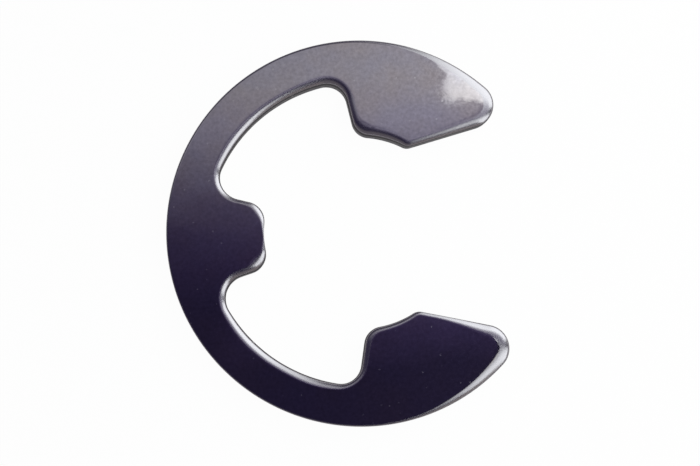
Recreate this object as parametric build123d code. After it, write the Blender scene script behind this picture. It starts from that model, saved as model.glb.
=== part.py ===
"""E-clip: a flat spring-steel retaining ring that is pushed sideways into a shaft's groove.

One stamped piece. Two curved bows run from a centre prong round to a jaw each. The prong and
the two jaws bear on the bottom of the groove, and the mouth between the jaws lets the shaft in.

Frame: the origin is on the shaft's axis, at the underside. +Z is along the shaft, and +X
points out of the mouth. Sizes are in millimetres and degrees.
"""

from build123d import *

import os
from math import cos, radians, sin, sqrt, tan

# Sizes across the clip
SEAT_DIAMETER = 10.0  # circle that the prong and the jaws touch: the bottom of the groove
OUTER_DIAMETER = 20.0
BOW_WIDTH = 2.1  # radial width of the two bows
THICKNESS = 1.2

# Centre prong, opposite the mouth
PRONG_WIDTH = 3.1  # where its sides meet the seat circle
PRONG_TAPER = 16.0  # each side opens this much towards the bow
PRONG_CORNER_RADIUS = 1.0
PRONG_ROOT_RADIUS = 1.2

# Jaws, one each side of the mouth
MOUTH_GAP = 8.5  # narrowest width between the jaws
MOUTH_FLARE = 14.0  # each lip opens outwards by this much
THROAT_RADIUS = 0.6  # where the lip turns into the seat
NOSE_RADIUS = 1.2  # free end of the jaw
HEEL_ANGLE = 90.0  # from the mouth's centre line round to the back of the jaw, on the seat circle
HEEL_LEAN = 11.0  # the back of the jaw leans this much, so that the jaw is wider at its root
HEEL_RADIUS = 0.95
JAW_ROOT_RADIUS = 1.05

# Most of a prong's or jaw's side that one of its two rounded corners may take up
SIDE_SHARE = 0.45

# Sheared edges
ROLL_RADIUS = 0.28  # rolled edge of the upper face, where the punch drew the metal down
BURR_RADIUS = 0.1  # tumbled edge of the underside

seat_radius = SEAT_DIAMETER / 2
outer_radius = OUTER_DIAMETER / 2
pocket_radius = outer_radius - BOW_WIDTH
side_length = pocket_radius - seat_radius  # how far the prong and the jaws stand in from the bows
reach = OUTER_DIAMETER  # far enough to run any cut past the outer edge


def both_halves(*points):
    """A polygon through points in the upper half, joined to its mirror image in the lower half."""
    upper = Polygon(*points, align=None)
    return upper + mirror(upper, Plane.XZ)


def on_side(radius):
    """A corner radius, limited where it shares a side of the prong or of a jaw with another."""
    return min(radius, SIDE_SHARE * side_length)


def rounded(flat, distance, which, radius):
    """Rounds some of the corners that lie at one distance from the shaft's axis.

    The corners are counted from the back of the clip to the mouth, so each jaw or prong has two.
    """
    corners = [v for v in flat.vertices() if abs(Vector(v).length - distance) < 1e-4]
    return fillet(ShapeList(corners).sort_by(Axis.X)[which], radius)


def mouth_cutter():
    """The flared opening: its lips start on the seat circle and run out past the noses."""
    half_gap = MOUTH_GAP / 2
    throat_x = sqrt(seat_radius**2 - half_gap**2)
    end_x = throat_x + reach
    half_end = half_gap + reach * tan(radians(MOUTH_FLARE))
    return both_halves((0, 0), (0, half_gap), (throat_x, half_gap), (end_x, half_end), (end_x, 0))


def pocket_cutter():
    """The two relieved spaces inside the bows, each from one side of the prong to one heel."""
    half_prong = PRONG_WIDTH / 2
    prong_x = -sqrt(seat_radius**2 - half_prong**2)
    taper = radians(PRONG_TAPER)
    heel = radians(HEEL_ANGLE)
    lean = heel + radians(HEEL_LEAN)
    heel_x, heel_y = seat_radius * cos(heel), seat_radius * sin(heel)
    sectors = both_halves(
        (0, 0),
        (prong_x, half_prong),
        (prong_x - reach * cos(taper), half_prong + reach * sin(taper)),
        (-reach, 2 * reach),
        (heel_x + reach * cos(lean), heel_y + reach * sin(lean)),
        (heel_x, heel_y),
    )
    pockets = sectors & Circle(pocket_radius)
    pockets = rounded(pockets, pocket_radius, slice(2), on_side(PRONG_ROOT_RADIUS))
    return rounded(pockets, pocket_radius, slice(-2, None), on_side(JAW_ROOT_RADIUS))


def blank():
    """The flat outline with its corners rounded."""
    flat = Circle(outer_radius) - Circle(seat_radius) - pocket_cutter() - mouth_cutter()
    flat = rounded(flat, outer_radius, slice(2), NOSE_RADIUS)
    flat = rounded(flat, seat_radius, slice(4, 6), THROAT_RADIUS)
    flat = rounded(flat, seat_radius, slice(2, 4), on_side(HEEL_RADIUS))
    return rounded(flat, seat_radius, slice(2), on_side(PRONG_CORNER_RADIUS))


def e_clip():
    """The blank at full thickness, with its rolled upper edge and its tumbled lower edge."""
    clip = extrude(blank(), THICKNESS)
    clip = fillet(clip.faces().sort_by(Axis.Z)[-1].edges(), ROLL_RADIUS)
    return fillet(clip.faces().sort_by(Axis.Z)[0].edges(), BURR_RADIUS)


os.makedirs("parts", exist_ok=True)
export_step(e_clip(), "parts/e_clip.step")
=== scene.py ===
"""An e-clip of dark spring steel: its stamped shape, its finish, and a small studio round it.

The clip is stamped from strip, so its upper face rolls over at every edge, more so at the tips
of the jaws. The wall below is smooth where the punch sheared it and rough where the steel broke.
Sizes are in metres and radians, as Blender holds them, except where a comment says otherwise.
"""

from math import atan2, ceil, cos, exp, inf, pi, radians, sin, sqrt

import bpy
from bpy.props import FloatProperty, FloatVectorProperty, PointerProperty
from mathutils import Matrix, Vector, kdtree, noise
from mathutils.geometry import delaunay_2d_cdt


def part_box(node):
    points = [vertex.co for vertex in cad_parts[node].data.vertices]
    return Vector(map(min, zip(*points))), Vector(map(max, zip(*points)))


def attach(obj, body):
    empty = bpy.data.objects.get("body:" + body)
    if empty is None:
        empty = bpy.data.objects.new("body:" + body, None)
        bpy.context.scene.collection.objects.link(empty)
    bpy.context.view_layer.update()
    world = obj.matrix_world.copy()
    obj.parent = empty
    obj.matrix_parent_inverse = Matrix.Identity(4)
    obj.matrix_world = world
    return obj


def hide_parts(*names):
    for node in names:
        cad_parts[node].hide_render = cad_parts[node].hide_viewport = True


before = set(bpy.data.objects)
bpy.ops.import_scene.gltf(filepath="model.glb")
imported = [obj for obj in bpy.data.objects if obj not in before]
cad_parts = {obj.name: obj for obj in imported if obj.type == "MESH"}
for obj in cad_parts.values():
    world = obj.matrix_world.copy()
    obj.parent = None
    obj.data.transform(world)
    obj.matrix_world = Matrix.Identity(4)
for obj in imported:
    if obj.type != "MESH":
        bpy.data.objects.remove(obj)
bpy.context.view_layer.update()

bl_info = {
    "name": "E-clip",
    "version": (1, 0, 0),
    "blender": (4, 5, 0),
    "location": "3D View > Sidebar > E-clip",
    "description": "Adds a stamped e-clip of dark spring steel and a small studio round it",
    "category": "Add Mesh",
}

MM = 0.001
NODE = "e_clip"
low_corner, high_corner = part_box(NODE)


# ---------------------------------------------------------------- sizes and colours


def length(name, default, description):
    """A size in metres."""
    return FloatProperty(
        name=name, description=description, default=default, unit="LENGTH", precision=6
    )


def angle(name, degrees, description):
    """An angle, given in degrees."""
    return FloatProperty(
        name=name, description=description, default=radians(degrees), subtype="ANGLE"
    )


def share(name, default, description):
    """A number from 0 to 1."""
    return FloatProperty(
        name=name, description=description, default=default, min=0, max=1, subtype="FACTOR"
    )


def colour(name, default, description):
    """A colour, as linear red, green and blue."""
    return FloatVectorProperty(
        name=name, description=description, default=default, size=3, min=0, max=1, subtype="COLOR"
    )


def brightness(name, default, description):
    """A light's strength, where 1 shows as white in a mirror."""
    return FloatProperty(name=name, description=description, default=default, min=0)


class ClipSizes(bpy.types.PropertyGroup):
    """The stamped outline and the shape of its edges."""

    seat_diameter: length("Seat diameter", 10.0 * MM, "Circle that the prong and the jaws touch")
    outer_diameter: length("Outer diameter", high_corner.y - low_corner.y, "Across the two bows")
    thickness: length("Thickness", high_corner.z - low_corner.z, "Thickness of the strip")
    bow_width: length("Bow width", 2.1 * MM, "Radial width of the two bows")
    prong_width: length("Prong width", 3.1 * MM, "Width where its sides meet the seat circle")
    prong_taper: angle("Prong taper", 16.0, "How much each side of the prong opens to the bow")
    prong_corner: length("Prong corner radius", 1.0 * MM, "Rounding of the prong's two corners")
    prong_root: length("Prong root radius", 1.2 * MM, "Rounding between the prong and the bows")
    mouth_gap: length("Mouth gap", 8.5 * MM, "Narrowest width between the jaws")
    mouth_flare: angle("Mouth flare", 14.0, "How much each lip opens outwards")
    throat: length("Throat radius", 0.6 * MM, "Where the lip turns into the seat")
    nose: length("Nose radius", 1.2 * MM, "Free end of the jaw")
    heel_angle: angle("Heel angle", 90.0, "From the mouth's centre line to the back of the jaw")
    heel_lean: angle("Heel lean", 11.0, "Lean of the back of the jaw")
    heel: length("Heel radius", 0.95 * MM, "Rounding of the jaw's back corner")
    jaw_root: length("Jaw root radius", 1.05 * MM, "Rounding between the jaw and the bow")
    roll_width: length("Roll width", 0.42 * MM, "How far in the plain roll of an edge starts")
    roll_depth: length("Roll depth", 0.27 * MM, "How far the plain roll drops at the wall")
    outer_roll: share("Roll of the outer edge", 0.25, "Its size, as a share of the plain roll")
    lip_roll: share("Roll of the lips", 0.64, "Its width, as a share of the plain roll")
    lip_drop: share("Drop of the lips", 0.44, "Its depth, as a share of the plain roll")
    prong_roll: share("Roll of the prong", 0.5, "At its sides, as a share of the plain roll")
    nose_roll: length("Roll width at the nose", 0.6 * MM, "Width of the roll at the tip of a jaw")
    nose_drop: length("Roll depth at the nose", 0.24 * MM, "Depth of the roll at the tip of a jaw")
    punch_shift: share(
        "Punch shift", 0.33, "Extra roll of the edges that face the lower jaw, and less opposite"
    )
    break_inset: length("Break inset", 0.025 * MM, "How far the broken wall stands back")
    lower_edge: length("Lower edge radius", 0.1 * MM, "Tumbled edge of the underside")


class SteelFinish(bpy.types.PropertyGroup):
    """Colours and gloss of the steel."""

    steel: colour("Steel", (0.25, 0.235, 0.275), "Dark face, as it comes out of the hardening oil")
    warm: colour("Warm patches", (0.262, 0.236, 0.252), "Brownish patches of the oxide")
    worn: colour("Worn edges", (0.31, 0.293, 0.322), "Edges that tumbling has rubbed bright")
    specks: colour("Specks", (0.38, 0.36, 0.38), "Pale specks on the flat faces")
    # Both wall colours are partly the dark steel of the cut and partly painted shade. They are
    # darker than the steel, so the walls stay dark where they mirror the bright floor paper.
    sheared: colour("Sheared wall", (0.052, 0.047, 0.051), "Smooth part of the wall")
    broken: colour("Broken wall", (0.054, 0.048, 0.052), "Rough part of the wall")
    face_roughness: share("Face roughness", 0.05, "Of the flat faces, where 0 is a mirror")
    edge_roughness: share("Edge roughness", 0.22, "Of the rolled edges")
    wall_roughness: share("Wall roughness", 0.42, "Of the smooth part of the wall")
    broken_roughness: share("Broken roughness", 0.5, "Of the rough part of the wall")


class Studio(bpy.types.PropertyGroup):
    """The floor, the light and the camera."""

    paper: colour("Paper", (0.88, 0.88, 0.88), "Floor and backdrop")
    dusk: colour("Surroundings", (0.044, 0.035, 0.088), "The dim room round the lights")
    haze: colour("Haze", (0.054, 0.044, 0.105), "The dim ceiling over the lower jaw")
    walls: colour("Walls", (0.27, 0.25, 0.27), "The room's walls near the ground")
    daylight: colour("Daylight", (0.939, 1.0, 0.962), "Colour of the two windows' light")
    left_light: brightness("Left window light", 3.08, "Left window, clear of its curtain")
    right_light: brightness("Right window light", 2.72, "Right window, at its lower end")
    low_glow: colour("Low glow", (0.45, 0.41, 0.39), "The dim strip below the right window")
    camera_distance: length("Camera distance", 84.3 * MM, "From the middle of the clip's face")
    camera_tilt: angle("Camera tilt", 6.7, "From straight above")
    camera_turn: angle(
        "Camera turn", -120.2, "Side to which the camera leans, from the mouth's centre line"
    )
    camera_roll: angle("Camera roll", 2.95, "How much the clip looks turned in the picture")


# ---------------------------------------------------------------- the outline

STEP = 0.085 * MM  # longest step along the outline
TURN_STEP = radians(4.5)  # largest turn in one step
SKIN = 0.002 * MM  # the body stands this far inside its outline
AXIS = Vector((0, 0))

POCKET_ROLL = 1.08  # roll of the bows' inner edges, as a share of the plain roll
LAND_ROLL = 0.85  # and of the jaws' edges on the seat circle
PRONG_END_ROLL = 0.1  # roll of the prong's end, as a share of the roll of its sides
CORNER_ROLL = 0.12 * MM  # extra share of roll for each unit of outward curvature
NOSE_FADE_OUTER = 4.0 * MM  # length over which a nose's wide roll dies out along the outer edge
NOSE_FADE_LIP = 1.7 * MM  # and along the lip
ROLL_WANDER = 0.16  # uneven share of the roll's size
ROLL_WANDER_SIZE = 0.9 * MM
SOFTEN = 6  # samples each side that a running average takes in
BEND_PASSES = 3  # times that the curvature is evened out
ROLL_PASSES = 2  # and the roll

DRAWN_START = (0.05 * MM, 0.3 * MM)  # a corner's extra pull sets in between these insets
DRAWN_REACH = 1.0 * MM  # no roll reaches further in
DRAWN_SEARCH = 5  # a place is pulled by the edges within this many times its inset


def along(turn):
    """The direction at an angle from the mouth's centre line."""
    return Vector((cos(turn), sin(turn)))


def angle_of(vector):
    """The angle of a direction, as along takes it."""
    return atan2(vector.y, vector.x)


def smoothstep(low, high, value):
    """A soft step from 0 at one value to 1 at another."""
    t = min(1.0, max(0.0, (value - low) / (high - low)))
    return t * t * (3 - 2 * t)


def evened(values, zero, passes):
    """Running averages of a closed row of values."""
    count = len(values)
    for _ in range(passes):
        values = [
            sum((values[(i + k) % count] for k in range(-SOFTEN, SOFTEN + 1)), zero)
            / (2 * SOFTEN + 1)
            for i in range(count)
        ]
    return values


def touching(point, direction, side, radius, ring):
    """Centre of a circle that touches a line on one side and stands at a distance from the axis."""
    start = point + side * radius
    half = start.dot(direction)
    return start + direction * (sqrt(half * half - start.length_squared + ring * ring) - half)


def arc(centre, radius, start, end, hollow=False):
    """Samples of an arc: place, direction out of the steel, and curvature per metre."""
    turn = end - start
    count = max(2, ceil(abs(turn) * radius / STEP), ceil(abs(turn) / TURN_STEP))
    sign = -1 if hollow else 1
    for i in range(count):
        out = along(start + turn * i / count)
        yield centre + out * radius, out * sign, sign / radius


def line(start, end, out):
    """Samples of a straight run, as arc gives them."""
    count = max(2, ceil((end - start).length / STEP))
    for i in range(count):
        yield start.lerp(end, i / count), out, 0.0


def half_outline(s):
    """The outline's upper half, from the back of the clip round to the end of the prong."""
    seat, outer = s.seat_diameter / 2, s.outer_diameter / 2
    pocket = outer - s.bow_width

    lip_way = along(s.mouth_flare)
    lip_side = along(s.mouth_flare + pi / 2)
    half_gap = s.mouth_gap / 2
    lip_start = Vector((sqrt(seat**2 - half_gap**2), half_gap))
    nose = touching(lip_start, lip_way, lip_side, s.nose, outer - s.nose)
    throat = touching(lip_start, lip_way, lip_side, s.throat, seat + s.throat)

    back_way = along(s.heel_angle + s.heel_lean)
    back_side = along(s.heel_angle + s.heel_lean - pi / 2)
    back_start = along(s.heel_angle) * seat
    heel = touching(back_start, back_way, back_side, s.heel, seat + s.heel)
    jaw_root = touching(back_start, back_way, -back_side, s.jaw_root, pocket - s.jaw_root)

    prong_way = along(pi - s.prong_taper)
    prong_side = along(pi / 2 - s.prong_taper)
    half_prong = s.prong_width / 2
    prong_start = Vector((-sqrt(seat**2 - half_prong**2), half_prong))
    root = touching(prong_start, prong_way, prong_side, s.prong_root, pocket - s.prong_root)
    corner = touching(prong_start, prong_way, -prong_side, s.prong_corner, seat + s.prong_corner)

    return {
        "outer": arc(AXIS, outer, pi, angle_of(nose)),
        "nose": arc(nose, s.nose, angle_of(nose), angle_of(-lip_side)),
        "lip": line(nose - lip_side * s.nose, throat - lip_side * s.throat, -lip_side),
        "throat": arc(throat, s.throat, angle_of(-lip_side), angle_of(throat) - pi),
        "land": arc(AXIS, seat, angle_of(throat), angle_of(heel), hollow=True),
        "heel": arc(heel, s.heel, angle_of(heel) - pi, angle_of(-back_side)),
        "back": line(heel - back_side * s.heel, jaw_root + back_side * s.jaw_root, -back_side),
        "jaw root": arc(jaw_root, s.jaw_root, angle_of(back_side), angle_of(jaw_root), hollow=True),
        "pocket": arc(AXIS, pocket, angle_of(jaw_root), angle_of(root), hollow=True),
        "prong root": arc(
            root, s.prong_root, angle_of(root), angle_of(-prong_side) + 2 * pi, hollow=True
        ),
        "prong side": line(
            root - prong_side * s.prong_root, corner + prong_side * s.prong_corner, prong_side
        ),
        "prong corner": arc(corner, s.prong_corner, angle_of(prong_side), angle_of(corner) - pi),
        "prong end": arc(AXIS, seat, angle_of(corner), pi, hollow=True),
    }


class Outline:
    """The closed outline as samples, clockwise from the back of the clip, with its roll sizes."""

    def __init__(self, s):
        samples = [(*sample, part) for part, run in half_outline(s).items() for sample in run]
        prong_middle = Vector((-s.seat_diameter / 2, 0))
        samples.append((prong_middle, Vector((1, 0)), -2 / s.seat_diameter, "prong end"))
        flip = Vector((1, -1))
        samples += [
            (place * flip, out * flip, bend, part) for place, out, bend, part in samples[-2:0:-1]
        ]
        self.places, self.outs, bends, parts = zip(*samples)
        self.count = len(samples)
        self.steps = [(self.places[i] - self.places[i - 1]).length for i in range(self.count)]
        self.rolls = self.roll_sizes(s, bends, parts)
        self.tree = kdtree.KDTree(self.count)
        for i, place in enumerate(self.places):
            self.tree.insert(place.to_3d(), i)
        self.tree.balance()

    def nose_distances(self, parts):
        """Each sample's distance from the nearer nose, along the outline."""
        distances = [0.0 if part == "nose" else inf for part in parts]
        for i in range(self.count):
            distances[i] = min(distances[i], distances[i - 1] + self.steps[i])
        for i in reversed(range(self.count)):
            after = (i + 1) % self.count
            distances[i] = min(distances[i], distances[after] + self.steps[after])
        return distances

    def roll_sizes(self, s, bends, parts):
        """Roll width and depth at each sample.

        The roll is widest round the noses. Elsewhere it is wider at outward corners and on edges
        that face the lower jaw, but the edges of the bows face every way and keep an even roll.
        """
        lip = (s.lip_roll, s.lip_drop)
        prong_end = s.prong_roll * PRONG_END_ROLL
        shares = {
            "outer": (s.outer_roll, s.outer_roll), "lip": lip, "throat": lip,
            "pocket": (POCKET_ROLL, POCKET_ROLL), "land": (LAND_ROLL, LAND_ROLL),
            "prong side": (s.prong_roll, s.prong_roll), "prong end": (prong_end, prong_end),
        }
        bends, distances = evened(bends, 0.0, BEND_PASSES), self.nose_distances(parts)
        rolls = []
        samples = zip(self.places, self.outs, parts, bends, distances)
        for place, out, part, bend, distance in samples:
            fade = NOSE_FADE_OUTER if part == "outer" else NOSE_FADE_LIP
            at_nose = exp(-((distance / fade) ** 2))
            wander = 1 + ROLL_WANDER * noise.noise(place.to_3d() / ROLL_WANDER_SIZE)
            wide, deep = shares.get(part, (1.0, 1.0))
            plain = Vector((s.roll_width * wide, s.roll_depth * deep)) * (1 + CORNER_ROLL * bend)
            even = 1.0 if part in ("pocket", "outer") else at_nose
            shift = 1 - s.punch_shift * out.y * (1 - even)
            rolls.append(plain.lerp(Vector((s.nose_roll, s.nose_drop)), at_nose) * wander * shift)
        return evened(rolls, Vector((0, 0)), ROLL_PASSES)

    def inset(self, i, distance):
        """Sample i moved into the steel."""
        return self.places[i] - self.outs[i] * (distance + SKIN)

    def depth(self, place):
        """How far a place lies inside the outline, and the roll of the edge beside it."""
        _, i, _ = self.tree.find(place.to_3d())
        return (self.places[i] - place).dot(self.outs[i]), self.rolls[i]

    def drawn_depth(self, place, inset):
        """The inset, less at outward corners, where the punch draws the face down from two sides.

        The pull of a straight edge is about 2 / inset**2, which leaves the inset almost as it is.
        """
        extra = smoothstep(*DRAWN_START, inset)
        if extra == 0 or inset > DRAWN_REACH:
            return inset
        near = self.tree.find_range(place.to_3d(), DRAWN_SEARCH * inset)
        pull = sum(self.steps[i] / distance**3 for _, i, distance in near)
        return inset * (pull * inset**2 / 2) ** (-extra / 2)


# ---------------------------------------------------------------- the stamped body

ROLL_SHAPE = 2.2  # 2 is an ellipse, and more starts more softly at the face
ROLL_RINGS = 15
FACE_RING = 0.42 * MM  # inset of the innermost ring, where the upper face's grid begins
ROLL_START = 0.92  # inset of the next ring, as a share of that
SLOPE_STEP = 0.01 * MM  # step over which a slope is measured
RUBBED_SLOPE = (0.0, 0.14)  # tumbling rubs the face from the first slope, and fully from the second
STEEP_SLOPE = (0.85, 1.5)  # between these slopes the roll turns into the sheared wall and takes its dark colour, which is partly painted shade
FACE_GRID = 0.08 * MM
FACE_BORDER = 0.95 * MM  # inset up to which a face has its full grid, and a quarter of it beyond
UNDER_GRID = 0.5 * MM
GRID_CLEARANCE = 0.55  # space left between a ring and the grid inside it, in grid steps
FACE_LOW = 0.004 * MM  # the face's mean level below the top, room for its waves
WAVES = ((0.0032 * MM, 1.6 * MM), (0.0004 * MM, 0.42 * MM))  # height and size of the face's waves

SHEAR_SHARE = 0.5  # height of the line between sheared and broken wall, as a share of the thickness
SHEAR_WANDER = 0.08 * MM
SHEAR_WANDER_SIZE = 1.3 * MM
SHEARED_RINGS = (0.15, 0.5, 1.0)  # how far down the sheared wall its rings lie
BROKEN_RINGS = (0.08, 0.25, 0.45, 0.65, 0.85)  # and those of the broken wall
BREAK_START = 0.3  # share of the broken wall's height over which it steps back
BREAK_ROUGHNESS = 0.006 * MM
BREAK_SIZE = 0.14 * MM
LOWER_EDGE_TURNS = (0, 22, 45, 68, 90)  # rings round the underside's edge, in degrees
LOWER_EDGE_WEAR = 0.7

INSIDE_TRIANGLES = 1  # asks the triangulation for what lies inside the edges
MERGE_DISTANCE = 1e-7  # millimetres


def roll_drop(inset, width, depth):
    """How far the upper face has dropped at a distance inside the outline."""
    bend = max(0.0, 1 - inset / width)
    return depth * (1 - (1 - bend**ROLL_SHAPE) ** (1 / ROLL_SHAPE))


def face_wave(place):
    """Slight waves of the rolled strip."""
    point = place.to_3d()
    return sum(height * noise.noise(point / size) for height, size in WAVES)


def upper_face(s, outline, place, inset, roll):
    """Height of the upper face, and two masks: its rubbed slope and its steep end."""
    drawn = outline.drawn_depth(place, inset)
    width, depth = roll
    drop = roll_drop(drawn, width, depth)
    wave = face_wave(place) * smoothstep(0, width, drawn)
    slope = (drop - roll_drop(drawn + SLOPE_STEP, width, depth)) / SLOPE_STEP
    height = s.thickness - FACE_LOW + wave - drop
    return height, smoothstep(*RUBBED_SLOPE, slope), smoothstep(*STEEP_SLOPE, slope)


def triangular_grid(outline, spacing):
    """An even grid of triangles over the outline's box: its points, and which a coarse one has."""
    xs, ys = [p.x for p in outline.places], [p.y for p in outline.places]
    low_x, low_y = min(xs), min(ys)
    row_height = spacing * sqrt(3) / 2
    for row in range(ceil((max(ys) - low_y) / row_height)):
        shift = spacing / 2 if row % 2 else 0
        for column in range(ceil((max(xs) - low_x) / spacing)):
            place = Vector((low_x + shift + column * spacing, low_y + row * row_height))
            yield place, row % 2 == 0 and (column + row // 2) % 2 == 0


class Body:
    """Vertices, faces and edge masks of the clip while it is built."""

    def __init__(self, outline):
        self.outline = outline
        self.points, self.faces, self.broken_faces = [], [], []
        self.worn, self.wall = [], []
        self.last_ring = None

    def point(self, place, height, worn, wall):
        """Adds a vertex with its two masks, and returns its number."""
        self.points.append((place.x, place.y, height))
        self.worn.append(worn)
        self.wall.append(wall)
        return len(self.points) - 1

    def ring(self, make, broken=False):
        """Adds a ring below the last one. make gives a sample's inset, height and edge masks."""
        count = self.outline.count
        ring = []
        for i in range(count):
            inset, height, *masks = make(i)
            ring.append(self.point(self.outline.inset(i, inset), height, *masks))
        above = self.last_ring
        if above:
            for i in range(count):
                j = (i + 1) % count
                self.faces.append((above[i], above[j], ring[j], ring[i]))
                self.broken_faces.append(broken)
        self.last_ring = ring
        return ring

    def fill(self, ring, ring_inset, grid, upward, height_of):
        """Closes a ring with triangles, with an even grid of points inside it.

        height_of gives a grid point's height and edge masks.
        """
        flat = [Vector(self.points[i][:2]) / MM for i in ring]
        index = list(ring)
        for place, coarse in triangular_grid(self.outline, grid):
            inset, roll = self.outline.depth(place)
            clear = inset > ring_inset + GRID_CLEARANCE * grid
            if clear and (coarse or inset < FACE_BORDER):
                index.append(self.point(place, *height_of(place, inset, roll)))
                flat.append(place / MM)
        edges = [(i, (i + 1) % len(ring)) for i in range(len(ring))]
        spots, _, triangles, origins, _, _ = delaunay_2d_cdt(
            flat, edges, [], INSIDE_TRIANGLES, MERGE_DISTANCE, True
        )
        for triangle in triangles:
            middle = sum((spots[k] for k in triangle), Vector((0, 0))) * (MM / 3)
            if self.outline.depth(middle)[0] > ring_inset:
                corners = [index[origins[k][0]] for k in triangle]
                self.faces.append(corners if upward else corners[::-1])
                self.broken_faces.append(False)


def build_body(s):
    """The clip's body, from the middle of its upper face over the edges to its underside."""
    outline = Outline(s)
    body = Body(outline)
    wall_top = [s.thickness - FACE_LOW - depth for _, depth in outline.rolls]
    shear_line = [
        s.thickness * SHEAR_SHARE + SHEAR_WANDER * noise.noise(place.to_3d() / SHEAR_WANDER_SIZE)
        for place in outline.places
    ]

    def rolled(inset):
        return lambda i: (
            inset, *upper_face(s, outline, outline.inset(i, inset), inset, outline.rolls[i])
        )

    top = body.ring(rolled(FACE_RING))
    for k in range(ROLL_RINGS + 1):
        body.ring(rolled(FACE_RING * ROLL_START * (1 - sin(pi / 2 * k / ROLL_RINGS))))

    for part in SHEARED_RINGS:
        body.ring(lambda i: (0.0, wall_top[i] + (shear_line[i] - wall_top[i]) * part, 1.0, 1.0))

    for part in BROKEN_RINGS:
        def broken(i):
            height = shear_line[i] + (s.lower_edge - shear_line[i]) * part
            at = Vector((*outline.places[i], height))
            rough = BREAK_ROUGHNESS * (0.5 + noise.noise(at / BREAK_SIZE))
            return (s.break_inset + rough) * smoothstep(0, BREAK_START, part), height, 0.0, 1.0
        body.ring(broken, broken=True)

    for turn in LOWER_EDGE_TURNS:
        def edge(i):
            height = s.lower_edge * (1 - sin(radians(turn)))
            inset = s.break_inset + s.lower_edge * (1 - cos(radians(turn)))
            return inset, height, LOWER_EDGE_WEAR, 0.0
        body.ring(edge, broken=turn == 0)

    body.fill(
        top, FACE_RING, FACE_GRID, True,
        lambda place, inset, roll: upper_face(s, outline, place, inset, roll),
    )
    body.fill(
        body.last_ring, s.break_inset + s.lower_edge, UNDER_GRID, False,
        lambda place, inset, roll: (0.0, 0.0, 0.0),
    )
    return body


def mesh_from(body, name):
    """A smooth-shaded mesh with its two materials' faces and its edge masks."""
    mesh = bpy.data.meshes.new(name)
    mesh.from_pydata(body.points, [], body.faces)
    mesh.shade_smooth()
    for attribute, values in (("worn_edge", body.worn), ("stamped_wall_and_painted_shade", body.wall)):
        mesh.attributes.new(attribute, "FLOAT", "POINT").data.foreach_set("value", values)
    mesh.polygons.foreach_set("material_index", [int(b) for b in body.broken_faces])
    mesh.update()
    return mesh


# ---------------------------------------------------------------- shader nodes


def node(tree, kind, inputs=None, **settings):
    """Adds a node. Each input is given as a value, or as the socket that feeds it."""
    made = tree.nodes.new(kind)
    for key, value in settings.items():
        setattr(made, key, value)
    for key, value in (inputs or {}).items():
        if isinstance(value, bpy.types.NodeSocket):
            tree.links.new(value, made.inputs[key])
        else:
            made.inputs[key].default_value = value
    return made


def maths(tree, operation, first, second):
    """One step of arithmetic."""
    return node(tree, "ShaderNodeMath", {0: first, 1: second}, operation=operation).outputs[0]


def spread(tree, value, low, high, to_low=0.0, to_high=1.0, soft=False):
    """Stretches a value from one range to another, and stops it at the ends."""
    ends = {"Value": value, "From Min": low, "From Max": high, "To Min": to_low, "To Max": to_high}
    kind = "SMOOTHSTEP" if soft else "LINEAR"
    return node(tree, "ShaderNodeMapRange", ends, interpolation_type=kind).outputs[0]


def mixed(tree, factor, first, second):
    """Blends two colours."""
    inputs = {0: factor, 6: first, 7: second}
    return node(tree, "ShaderNodeMix", inputs, data_type="RGBA").outputs[2]


def vector_maths(tree, operation, inputs):
    """One step of arithmetic with colours or vectors."""
    return node(tree, "ShaderNodeVectorMath", inputs, operation=operation).outputs[0]


def scaled(tree, rgb, strength):
    """A colour or vector times a number."""
    return vector_maths(tree, "SCALE", {0: rgb, "Scale": strength})


def split(tree, vector):
    """The three parts of a vector."""
    return node(tree, "ShaderNodeSeparateXYZ", {0: vector}).outputs


def noise_texture(tree, place, size, detail, roughness):
    """Noise with features of about this size."""
    scale = maths(tree, "DIVIDE", 1.0, size)
    inputs = {"Vector": place, "Scale": scale, "Detail": detail, "Roughness": roughness}
    return node(tree, "ShaderNodeTexNoise", inputs).outputs[0]


def millimetres(tree):
    """Places on the object in millimetres."""
    return scaled(tree, node(tree, "ShaderNodeTexCoord").outputs["Object"], 1 / MM)


def mask(tree, name):
    """A mask that the mesh carries."""
    return node(tree, "ShaderNodeAttribute", attribute_name=name).outputs["Fac"]


def opaque(rgb):
    """A colour as the node sockets take it."""
    return (*rgb, 1.0)


def new_group(name, inputs, outputs):
    """A shader node group with number and vector sockets. Returns it with its two end nodes."""
    group = bpy.data.node_groups.new(name, "ShaderNodeTree")
    for socket, kind, default in inputs:
        made = group.interface.new_socket(socket, in_out="INPUT", socket_type=kind)
        if default is not None:
            made.default_value = default
    for socket in outputs:
        group.interface.new_socket(socket, in_out="OUTPUT", socket_type="NodeSocketFloat")
    return group, node(group, "NodeGroupInput"), node(group, "NodeGroupOutput")


def used_group(tree, group, inputs):
    """A group placed in a material with its own values. Returns its outputs."""
    return node(tree, "ShaderNodeGroup", inputs, node_tree=group).outputs


def new_material(name):
    """A material with an empty node tree."""
    material = bpy.data.materials.new(name)
    material.use_nodes = True
    material.node_tree.nodes.clear()
    return material, material.node_tree


def finish_material(tree, shader):
    """Sends a shader to the material's surface."""
    node(tree, "ShaderNodeOutputMaterial", {"Surface": shader})


# ---------------------------------------------------------------- the steel

# Marks of tumbling and oil. Sizes in the shaders are in millimetres.
GRAIN_RANGE = (0.25, 0.75)  # part of the noise that becomes the grain's whole contrast
PATCH_RANGE = (0.3, 0.7)  # and the patches'
SPECKS_PER_MM = 2.2
SPECK_EDGE = (0.05, 0.16)  # a speck fades between these distances, in spaces between specks
SPECK_HEIGHT = 0.5  # as a share of the grain's height
FINE_SIZE = 0.045
FINE_HEIGHT = 0.06  # as a share of the grain's height
WEAR_RANGE = (0.25, 0.75)  # an edge's mask, where the rubbing starts and where it is complete

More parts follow.
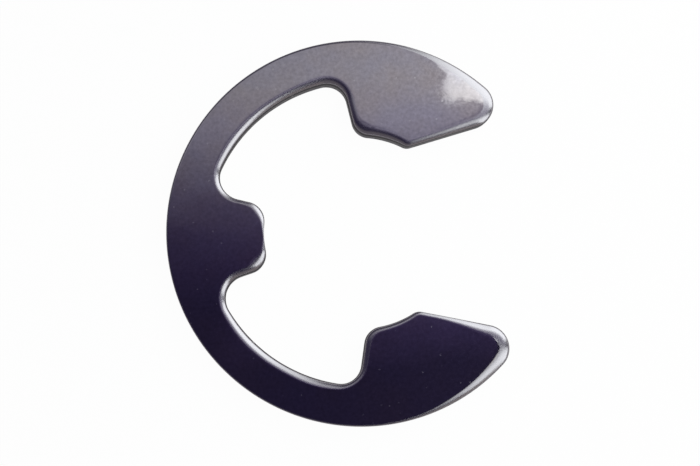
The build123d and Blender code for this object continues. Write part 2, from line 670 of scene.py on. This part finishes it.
# The flat faces
GRAIN_CONTRAST = (0.86, 1.14)  # how much the grain darkens and lightens them
GLOSS_CONTRAST = 0.015  # how much it changes their roughness, each way
SPECK_STRENGTH = 0.6
SPECK_ROUGHNESS = 0.12  # added to theirs
FACE_BUMP = 0.00012 * MM

# The broken wall
BROKEN_PATCHES = 0.45  # how much of the faces' colour its patches have
BROKEN_GLOSS_CONTRAST = 0.1
BROKEN_BUMP = 0.012 * MM

EDGE_TINT = (0.6, 0.6, 0.6, 1.0)  # oil and oxide keep the steel dark where it is seen edge on


def tumbling_marks_group():
    """What tumbling and oil leave all over: fine grain, soft patches, pale specks, and a height."""
    group, start, end = new_group(
        "Tumbling marks",
        [
            ("Place", "NodeSocketVector", None),
            ("Grain Size", "NodeSocketFloat", 0.2),
            ("Patch Size", "NodeSocketFloat", 2.4),
            ("Speck Share", "NodeSocketFloat", 0.36),
        ],
        ["Grain", "Patches", "Specks", "Height"],
    )
    place = start.outputs["Place"]

    def noise_from(offset, size, detail):
        moved = vector_maths(group, "ADD", {0: place, 1: (offset, offset, offset)})
        return noise_texture(group, moved, size, detail, roughness=0.55)

    grain = noise_from(offset=3.1, size=start.outputs["Grain Size"], detail=2.0)
    grain = spread(group, grain, *GRAIN_RANGE)
    patches = noise_from(offset=17.7, size=start.outputs["Patch Size"], detail=3.0)
    patches = spread(group, patches, *PATCH_RANGE, soft=True)

    cell_inputs = {"Vector": place, "Scale": SPECKS_PER_MM, "Randomness": 1.0}
    cells = node(group, "ShaderNodeTexVoronoi", cell_inputs).outputs
    near = spread(group, cells["Distance"], *SPECK_EDGE, 1.0, 0.0, soft=True)
    lot = node(group, "ShaderNodeSeparateColor", {0: cells["Color"]}).outputs[0]
    chosen = maths(group, "LESS_THAN", lot, start.outputs["Speck Share"])
    specks = maths(group, "MULTIPLY", near, chosen)

    fine = noise_from(offset=9.3, size=FINE_SIZE, detail=1.0)
    height = maths(group, "ADD", grain, maths(group, "MULTIPLY", fine, FINE_HEIGHT))
    height = maths(group, "ADD", height, maths(group, "MULTIPLY", specks, SPECK_HEIGHT))
    results = {"Grain": grain, "Patches": patches, "Specks": specks, "Height": height}
    for name, value in results.items():
        group.links.new(value, end.inputs[name])
    return group


def edge_wear_group():
    """Where an edge is rubbed through to bright steel: its mask, broken up by noise."""
    group, start, end = new_group(
        "Edge wear",
        [
            ("Place", "NodeSocketVector", None),
            ("Edge", "NodeSocketFloat", 0.0),
            ("Breakup", "NodeSocketFloat", 0.4),
            ("Size", "NodeSocketFloat", 0.35),
        ],
        ["Wear"],
    )
    rough = noise_texture(
        group, start.outputs["Place"], start.outputs["Size"], detail=3.0, roughness=0.6
    )
    rough = maths(group, "SUBTRACT", rough, 0.5)
    rough = maths(group, "MULTIPLY", rough, start.outputs["Breakup"])
    rubbed = maths(group, "ADD", start.outputs["Edge"], rough)
    group.links.new(spread(group, rubbed, *WEAR_RANGE, soft=True), end.inputs["Wear"])
    return group


def finish_steel(tree, base, rough, height, bump):
    """The steel's shader, from its colour, its roughness and its marks' height."""
    bumped = node(tree, "ShaderNodeBump", {"Height": height, "Distance": bump})
    shader = node(
        tree, "ShaderNodeBsdfPrincipled",
        {
            "Base Color": base, "Metallic": 1.0, "Roughness": rough,
            "Specular Tint": EDGE_TINT, "Normal": bumped.outputs[0],
        },
    )
    finish_material(tree, shader.outputs[0])


def tumbled_steel(finish, marks, wear):
    """Flat faces, rolled edges and the sheared part of the wall."""
    material, tree = new_material("tumbled_spring_steel")
    place = millimetres(tree)
    worn = used_group(tree, wear, {"Place": place, "Edge": mask(tree, "worn_edge")})["Wear"]
    mark = used_group(tree, marks, {"Place": place, "Grain Size": 0.18, "Patch Size": 2.6})
    wall = mask(tree, "stamped_wall_and_painted_shade")

    base = mixed(tree, mark["Patches"], opaque(finish.steel), opaque(finish.warm))
    base = scaled(tree, base, spread(tree, mark["Grain"], 0.0, 1.0, *GRAIN_CONTRAST))
    base = mixed(tree, worn, base, opaque(finish.worn))
    # Partly painted shade: the steep end of the roll and the sheared wall take the dark sheared
    # colour, which is darker than the steel itself.
    base = mixed(tree, wall, base, opaque(finish.sheared))
    speckled = maths(tree, "MULTIPLY", mark["Specks"], SPECK_STRENGTH)
    base = mixed(tree, speckled, base, opaque(finish.specks))

    gloss = (finish.face_roughness - GLOSS_CONTRAST, finish.face_roughness + GLOSS_CONTRAST)
    rough = spread(tree, mark["Grain"], 0.0, 1.0, *gloss)
    rougher = maths(tree, "MULTIPLY", mark["Specks"], SPECK_ROUGHNESS)
    rough = maths(tree, "ADD", rough, rougher)
    for where, value in ((worn, finish.edge_roughness), (wall, finish.wall_roughness)):
        inputs = {0: where, 2: rough, 3: value}
        rough = node(tree, "ShaderNodeMix", inputs, data_type="FLOAT").outputs[0]
    finish_steel(tree, base, rough, mark["Height"], FACE_BUMP)
    return material


def broken_steel(finish, marks, wear):
    """The rough part of the wall, where the steel broke ahead of the punch."""
    material, tree = new_material("broken_spring_steel")
    place = millimetres(tree)
    edge = {"Place": place, "Edge": mask(tree, "worn_edge"), "Breakup": 0.8, "Size": 0.15}
    worn = used_group(tree, wear, edge)["Wear"]
    mark = used_group(tree, marks, {"Place": place, "Grain Size": 0.08, "Patch Size": 0.5})

    patches = maths(tree, "MULTIPLY", mark["Patches"], BROKEN_PATCHES)
    # Partly painted shade: the broken wall's dark colour is darker than the steel itself, so this
    # part stays dark beside the bright floor.
    base = mixed(tree, patches, opaque(finish.broken), opaque(finish.steel))
    base = mixed(tree, worn, base, opaque(finish.worn))

    middle = finish.broken_roughness
    gloss = (middle - BROKEN_GLOSS_CONTRAST, middle + BROKEN_GLOSS_CONTRAST)
    rough = spread(tree, mark["Grain"], 0.0, 1.0, *gloss)
    finish_steel(tree, base, rough, mark["Height"], BROKEN_BUMP)
    return material


# ---------------------------------------------------------------- the floor

FLOOR_RADIUS = 0.46
FLOOR_RINGS = 12
SWEEP_RADIUS = 0.03
SWEEP_RINGS = 6
WALL_TOP = 0.09
FLOOR_SIDES = 96
FLOOR_LEVEL = -0.02 * MM
PAPER_GLOW = 0.975  # how much of the paper shows as plain white to the camera and in mirrors


def paper(studio):
    """Pale floor paper. It shows white to the camera and in reflections, and keeps soft shadows."""
    material, tree = new_material("studio_paper")
    lit = node(
        tree, "ShaderNodeBsdfPrincipled",
        {"Base Color": opaque(studio.paper), "Roughness": 0.9, "Specular IOR Level": 0.0},
    )
    white = node(tree, "ShaderNodeEmission", {"Color": (1, 1, 1, 1), "Strength": 1.0})
    rays = node(tree, "ShaderNodeLightPath").outputs
    seen = maths(tree, "MAXIMUM", rays["Is Camera Ray"], rays["Is Glossy Ray"])
    seen = maths(tree, "MAXIMUM", seen, rays["Is Transmission Ray"])
    amount = maths(tree, "MULTIPLY", seen, PAPER_GLOW)
    both = node(tree, "ShaderNodeMixShader", {0: amount, 1: lit.outputs[0], 2: white.outputs[0]})
    finish_material(tree, both.outputs[0])
    return material


def backdrop(studio):
    """A round sheet of paper under the clip that sweeps up to a low wall all round."""
    profile = [(FLOOR_RADIUS * k / FLOOR_RINGS, 0.0) for k in range(1, FLOOR_RINGS + 1)]
    for k in range(1, SWEEP_RINGS + 1):
        turn = pi / 2 * k / SWEEP_RINGS
        profile.append((FLOOR_RADIUS + SWEEP_RADIUS * sin(turn), SWEEP_RADIUS * (1 - cos(turn))))
    profile.append((FLOOR_RADIUS + SWEEP_RADIUS, WALL_TOP))

    sides = range(FLOOR_SIDES)
    points = [(0.0, 0.0, FLOOR_LEVEL)]
    for radius, height in profile:
        ring = [along(2 * pi * k / FLOOR_SIDES) * radius for k in sides]
        points += [(*place, height + FLOOR_LEVEL) for place in ring]
    faces = [(0, 1 + k, 1 + (k + 1) % FLOOR_SIDES) for k in sides]
    for row in range(len(profile) - 1):
        inner = 1 + row * FLOOR_SIDES
        outer = inner + FLOOR_SIDES
        for k in sides:
            n = (k + 1) % FLOOR_SIDES
            faces.append((inner + k, outer + k, outer + n, inner + n))

    mesh = bpy.data.meshes.new("paper_sweep")
    mesh.from_pydata(points, [], faces)
    mesh.shade_smooth()
    mesh.materials.append(paper(studio))
    sheet = bpy.data.objects.new("paper_sweep", mesh)
    bpy.context.scene.collection.objects.link(sheet)


# ---------------------------------------------------------------- the lights

# The lights' places, in degrees and millimetres. Each end of a window is given as its angle from
# the mouth's centre line, its distance from the axis, and its bottom and top.
LEFT_WINDOW = ((68, 51, 8, 205), (8, 51, 8, 205))
RIGHT_WINDOW = ((-8, 48, 16, 220), (-42, 70, 22, 320))
RIGHT_WINDOW_END = ((-42, 70, 60, 320), (-47.5, 90, 76, 400))
LOW_GLOW = ((-42, 50, 4, 42), (-75, 60, 4, 45))

RIGHT_FALL = (90, 290)  # heights between which the right window's light falls away
RIGHT_END_FALL = (120, 380)
HIGH_LIGHT = 0.12  # share of its light that is left above them
CURTAIN_SIDE = (20, 28)  # x at which the left window's curtain ends
CURTAIN_TOP = (140, 180)  # height at which it ends
CURTAIN_LIGHT = 0.5  # share of the light that it lets through

# The ceiling, with its corners' x and y. The clip's flat face shows it at about 0.6 of its size.
# The short steps near (12, 18) are the ragged edge of the bright patch on the upper jaw, where
# the left window shows past the ceiling.
CEILING_HEIGHT = 62
CEILING_SHAPE = (
    (-90, -14), (18, -14), (18, 0), (60, 0), (60, 16.9), (15.1, 17), (14.2, 17.5), (13.6, 17.3),
    (13, 18), (12.2, 17.7), (11.7, 18.9), (12.3, 19.6), (11.4, 20.4), (14.2, 26), (21.5, 43.5),
    (31, 70), (40, 120), (-90, 120),
)
CEILING_FADE = 20  # it brightens from y = 0 to here, from the lower bow to the upper
CEILING_STOPS = (  # its light at distances along that way
    (0.1, (0.0, 0.0, 0.0)), (3.5, (0.05, 0.035, 0.085)), (7, (0.125, 0.105, 0.18)),
    (10, (0.28, 0.26, 0.335)), (13, (0.5, 0.5, 0.57)), (16, (0.79, 0.79, 0.83)),
    (19.9, (0.96, 0.98, 0.95)),
)
MOUTH_EDGE = (-10, -4)  # x less y, where the part over the seat and the mouth begins
MOUTH_LIFT = 6  # there the light reaches this much further
MOUTH_END = (9, 14)  # y over which that extra dies out
FAR_SIDE = (6.5, 10.5)  # x, to the left of which the far part is dim
FAR_START = (23.5, 29)  # y where that part begins
FAR_LIGHT = 0.25
CEILING_DIMS = (  # along x, along the diagonal and along y: ends, light at the ends, soft or even
    ((-10, 10), (0.68, 1.02), False),
    ((-22, 4), (0.2, 1.0), True),
    ((42, 62), (1.0, 0.15), True),
)
HAZE_EDGE = (-2, 14)  # x over which the haze grows from left to right

ROOM_LEVELS = (0.15, 0.7)  # how far up, from 0 to 1, the walls pass into the dim room
FRONT_SHARE = 0.7  # how much higher the walls reach beyond the lower jaw


def card(name, corners, light):
    """A glowing panel that the camera doesn't see. Its corners are in millimetres.

    Its light is a colour, or a function that builds one in the panel's node tree. Light 1 shows
    as white in a mirror.
    """
    material, tree = new_material(name)
    glow = light(tree) if callable(light) else opaque(light)
    finish_material(tree, node(tree, "ShaderNodeEmission", {"Color": glow}).outputs[0])
    mesh = bpy.data.meshes.new(name)
    mesh.from_pydata([Vector(corner) * MM for corner in corners], [], [range(len(corners))])
    mesh.materials.append(material)
    panel = bpy.data.objects.new(name, mesh)
    panel.visible_camera = False
    panel.visible_shadow = False
    bpy.context.scene.collection.objects.link(panel)


def window(name, ends, light):
    """An upright card between two ends."""
    corners = []
    for (degrees, distance, bottom, top), order in zip(ends, (1, -1)):
        x, y = along(radians(degrees)) * distance
        corners += [(x, y, bottom), (x, y, top)][::order]
    card(name, corners, light)


def falling(rgb, low, high):
    """A light that falls away between two heights."""
    def light(tree):
        _, _, height = split(tree, millimetres(tree))
        return scaled(tree, rgb, spread(tree, height, low, high, 1.0, HIGH_LIGHT, soft=True))
    return light


def behind_curtain(rgb):
    """A light that is weaker at the left window's far end, below the top of its curtain."""
    def light(tree):
        x, _, height = split(tree, millimetres(tree))
        beside = spread(tree, x, *CURTAIN_SIDE, soft=True)
        above = spread(tree, height, *CURTAIN_TOP, soft=True)
        clear = maths(tree, "MAXIMUM", beside, above)
        return scaled(tree, rgb, spread(tree, clear, 0.0, 1.0, CURTAIN_LIGHT, 1.0))
    return light


def ceiling_light(studio):
    """The ceiling's light: bright over the upper bow, and fading into the room to the lower bow."""
    def light(tree):
        x, y, _ = split(tree, millimetres(tree))
        over_mouth = spread(tree, maths(tree, "SUBTRACT", x, y), *MOUTH_EDGE, soft=True)
        lift = spread(tree, y, *MOUTH_END, MOUTH_LIFT, 0.0, soft=True)
        lifted = maths(tree, "ADD", y, maths(tree, "MULTIPLY", over_mouth, lift))
        ramp = node(tree, "ShaderNodeValToRGB", {0: spread(tree, lifted, 0.0, CEILING_FADE)})
        stops = ramp.color_ramp.elements
        for at, rgb in CEILING_STOPS:
            stops.new(at / CEILING_FADE).color = opaque(rgb)
        stops.remove(stops[0])
        stops.remove(stops[-1])

        left = spread(tree, x, *FAR_SIDE, 1.0, 0.0, soft=True)
        far = maths(tree, "MULTIPLY", left, spread(tree, y, *FAR_START, soft=True))
        strength = spread(tree, far, 0.0, 1.0, 1.0, FAR_LIGHT)
        diagonal = maths(tree, "ADD", x, y)
        for way, (ends, levels, soft) in zip((x, diagonal, y), CEILING_DIMS):
            dim = spread(tree, way, *ends, *levels, soft=soft)
            strength = maths(tree, "MULTIPLY", strength, dim)
        hazy = spread(tree, x, *HAZE_EDGE, soft=True)
        haze = mixed(tree, hazy, opaque(studio.dusk), opaque(studio.haze))
        lit = scaled(tree, ramp.outputs[0], strength)
        return vector_maths(tree, "ADD", {0: lit, 1: haze})
    return light


def lights(studio):
    """A window on each side of the mouth, a dim strip low on the right, and a ceiling."""
    left = [part * studio.left_light for part in studio.daylight]
    right = [part * studio.right_light for part in studio.daylight]
    window("left_window", LEFT_WINDOW, behind_curtain(left))
    window("right_window", RIGHT_WINDOW, falling(right, *RIGHT_FALL))
    window("right_window_end", RIGHT_WINDOW_END, falling(right, *RIGHT_END_FALL))
    window("low_glow", LOW_GLOW, studio.low_glow)
    ceiling = [(x, y, CEILING_HEIGHT) for x, y in CEILING_SHAPE]
    card("ceiling_light", ceiling, ceiling_light(studio))


def surroundings(studio):
    """The room round the lights: dim, and a little paler near the ground."""
    world = bpy.data.worlds.new("room")
    world.use_nodes = True
    tree = world.node_tree
    _, y, up = split(tree, node(tree, "ShaderNodeTexCoord").outputs["Generated"])
    front = maths(tree, "MULTIPLY", maths(tree, "MINIMUM", y, 0.0), FRONT_SHARE)
    level = maths(tree, "ADD", up, front)
    low = spread(tree, level, *ROOM_LEVELS, 1.0, 0.0, soft=True)
    room = mixed(tree, low, opaque(studio.dusk), opaque(studio.walls))
    tree.links.new(room, tree.nodes["Background"].inputs["Color"])
    bpy.context.scene.world = world


# ---------------------------------------------------------------- the camera

FOCAL_LENGTH = 84.0  # millimetres
NEAREST = 5 * MM  # the camera sees nothing closer than this
AIM_RIGHT, AIM_UP = -0.565 * MM, -0.07 * MM  # where the camera aims from the axis, in the picture


def upright(forward, right):
    """The picture's right and up, square to the way the camera looks."""
    right = (right - forward * right.dot(forward)).normalized()
    return right, right.cross(forward)


def camera(studio, s):
    """A camera almost straight above, leaning to the back of the lower bow."""
    target = Vector((0, 0, s.thickness - s.roll_depth))
    lean = along(studio.camera_turn) * sin(studio.camera_tilt)
    place = target + Vector((*lean, cos(studio.camera_tilt))) * studio.camera_distance
    right, up = upright((target - place).normalized(), along(-studio.camera_roll).to_3d())
    forward = (target + right * AIM_RIGHT + up * AIM_UP - place).normalized()
    right, up = upright(forward, right)

    data = bpy.data.cameras.new("camera")
    data.lens = FOCAL_LENGTH
    data.clip_start = NEAREST
    viewer = bpy.data.objects.new("camera", data)
    turned = Matrix((right, up, -forward)).transposed()
    viewer.matrix_world = Matrix.LocRotScale(place, turned, None)
    bpy.context.scene.collection.objects.link(viewer)
    bpy.context.scene.camera = viewer


# ---------------------------------------------------------------- operators and panel


class ECLIP_OT_add_clip(bpy.types.Operator):
    """Add the e-clip, a single stamped piece of dark spring steel"""

    bl_idname = "eclip.add_clip"
    bl_label = "Add E-clip"

    def execute(self, context):
        sizes, finish = context.scene.eclip_sizes, context.scene.eclip_finish
        piece = bpy.data.objects.new("stamped_clip", mesh_from(build_body(sizes), "stamped_clip"))
        context.scene.collection.objects.link(piece)
        marks, wear = tumbling_marks_group(), edge_wear_group()
        piece.data.materials.append(tumbled_steel(finish, marks, wear))
        piece.data.materials.append(broken_steel(finish, marks, wear))
        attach(piece, "root")
        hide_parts(NODE)
        return {"FINISHED"}


class ECLIP_OT_add_stage(bpy.types.Operator):
    """Add the paper floor, the lights and the camera"""

    bl_idname = "eclip.add_stage"
    bl_label = "Add Studio"

    def execute(self, context):
        scene = context.scene
        backdrop(scene.eclip_studio)
        lights(scene.eclip_studio)
        surroundings(scene.eclip_studio)
        camera(scene.eclip_studio, scene.eclip_sizes)
        scene.view_settings.view_transform = "Standard"
        return {"FINISHED"}


class VIEW3D_PT_eclip(bpy.types.Panel):
    """Lists the pieces of the e-clip scene, with the sizes and colours that they use"""

    bl_label = "E-clip"
    bl_idname = "VIEW3D_PT_eclip"
    bl_space_type = "VIEW_3D"
    bl_region_type = "UI"
    bl_category = "E-clip"

    def draw(self, context):
        layout, scene = self.layout, context.scene
        layout.operator(ECLIP_OT_add_clip.bl_idname)
        layout.operator(ECLIP_OT_add_stage.bl_idname)
        for group in (scene.eclip_sizes, scene.eclip_finish, scene.eclip_studio):
            box = layout.box()
            for key in group.__annotations__:
                box.prop(group, key)


CLASSES = (ClipSizes, SteelFinish, Studio, ECLIP_OT_add_clip, ECLIP_OT_add_stage, VIEW3D_PT_eclip)


def register():
    for item in CLASSES:
        bpy.utils.register_class(item)
    bpy.types.Scene.eclip_sizes = PointerProperty(type=ClipSizes)
    bpy.types.Scene.eclip_finish = PointerProperty(type=SteelFinish)
    bpy.types.Scene.eclip_studio = PointerProperty(type=Studio)


def unregister():
    del bpy.types.Scene.eclip_studio
    del bpy.types.Scene.eclip_finish
    del bpy.types.Scene.eclip_sizes
    for item in reversed(CLASSES):
        bpy.utils.unregister_class(item)


def main():
    register()
    bpy.ops.eclip.add_clip()
    bpy.ops.eclip.add_stage()


if __name__ == "__main__":
    main()
